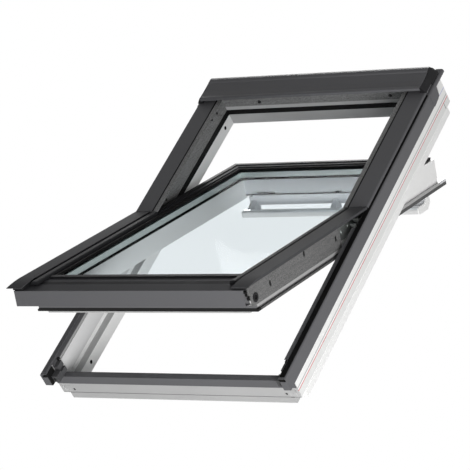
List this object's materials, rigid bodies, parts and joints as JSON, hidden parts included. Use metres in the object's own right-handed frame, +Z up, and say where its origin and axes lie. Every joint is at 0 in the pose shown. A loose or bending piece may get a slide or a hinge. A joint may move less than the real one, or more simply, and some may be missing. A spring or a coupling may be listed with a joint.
{
  "type": "roof skylight",
  "caption": "Centre-pivot roof skylight: white frame with grey outer covers, a glazed sash that turns about its middle, control bar with vent flap, and barrel bolt.",
  "frame": {"origin": "middle of the frame opening, on the plane of the frame's room-side face", "axes": "+X across the window to its right as seen from outside; +Z up; the window faces -Y and up, on a roof pitched 45 degrees"},
  "size_m": [0.801, 1.148, 0.9461],
  "materials": {
    "white_frame": "smooth white coat over the core",
    "white_sash": "smooth white coat over the core",
    "grey_cover": "matt dark grey lacquer on folded aluminium",
    "textured_lining": "coarse grained grey",
    "light_trim": "smooth light grey",
    "black_rubber": "matt black",
    "black_plastic": "matt black",
    "hinge_steel": "dull dark steel",
    "bush_plastic": "matt grey",
    "clear_glass": "clear float glass",
    "spacer_metal": "satin",
    "bar_metal": "satin",
    "bar_plastic": "smooth white"
  },
  "bodies": {
    "frame": {"frame_left": "white_frame", "frame_right": "white_frame", "frame_top": "white_frame", "frame_bottom": "white_frame", "bottom_cover": "grey_cover", "side_cover_left": "grey_cover", "side_cover_right": "grey_cover", "upper_cover_left": "grey_cover", "upper_cover_right": "grey_cover", "top_hood": "grey_cover", "corner_plate_left": "grey_cover", "corner_plate_right": "grey_cover", "frame_lining_left": "textured_lining", "frame_lining_right": "textured_lining", "top_lining": "textured_lining", "top_trim": "light_trim", "frame_seal": "black_rubber", "upper_cover_seals": "black_rubber", "hood_end_left": "black_plastic", "hood_end_right": "black_plastic", "corner_block_left": "black_plastic", "corner_block_right": "black_plastic", "hinge_track_left": "hinge_steel", "hinge_track_right": "hinge_steel", "bolt_keepers": "bush_plastic", "side_gaskets": "black_rubber"},
    "sash": {"sash_left": "white_sash", "sash_right": "white_sash", "sash_top": "white_sash", "sash_bottom": "white_sash", "sash_cover_left": "grey_cover", "sash_cover_right": "grey_cover", "bottom_apron": "grey_cover", "bottom_bead": "grey_cover", "glass_bead_left": "grey_cover", "glass_bead_right": "grey_cover", "side_cladding_left": "grey_cover", "side_cladding_right": "grey_cover", "top_cladding": "grey_cover", "sash_lining_left": "textured_lining", "sash_lining_right": "textured_lining", "sash_seal": "black_rubber", "inner_glazing_seal": "black_rubber", "outer_glazing_seal": "black_rubber", "end_plug_left": "black_plastic", "end_plug_right": "black_plastic", "lock_case": "black_plastic", "hinge_tongue_left": "hinge_steel", "hinge_tongue_right": "hinge_steel", "hinge_screws": "hinge_steel", "lining_bushes": "bush_plastic", "outer_pane": "clear_glass", "inner_pane": "clear_glass", "pane_spacer": "spacer_metal", "bolt_housing": "bar_plastic"},
    "control_bar": {"vent_flap": "white_sash", "bar_arms": "white_sash", "control_bar": "bar_metal", "bar_ends": "bar_plastic"},
    "barrel_bolt": {"barrel_bolt": "bar_metal"}
  },
  "joints": [
    {"name": "sash_pivot", "type": "hinge", "parent": "frame", "child": "sash", "pos_m": [0, -0.08485, 0.11314], "axis": [-1, 0, 0], "range_deg": [-25.5, 132.8]},
    {"name": "control_bar_hinge", "type": "hinge", "parent": "sash", "child": "control_bar", "pos_m": [0, 0.40607, 0.18875], "axis": [1, 0, 0], "range_deg": [0, 40]},
    {"name": "bolt_slide", "type": "slide", "parent": "sash", "child": "barrel_bolt", "axis": [-1, 0, 0], "range_m": [0, 0.016]}
  ]
}
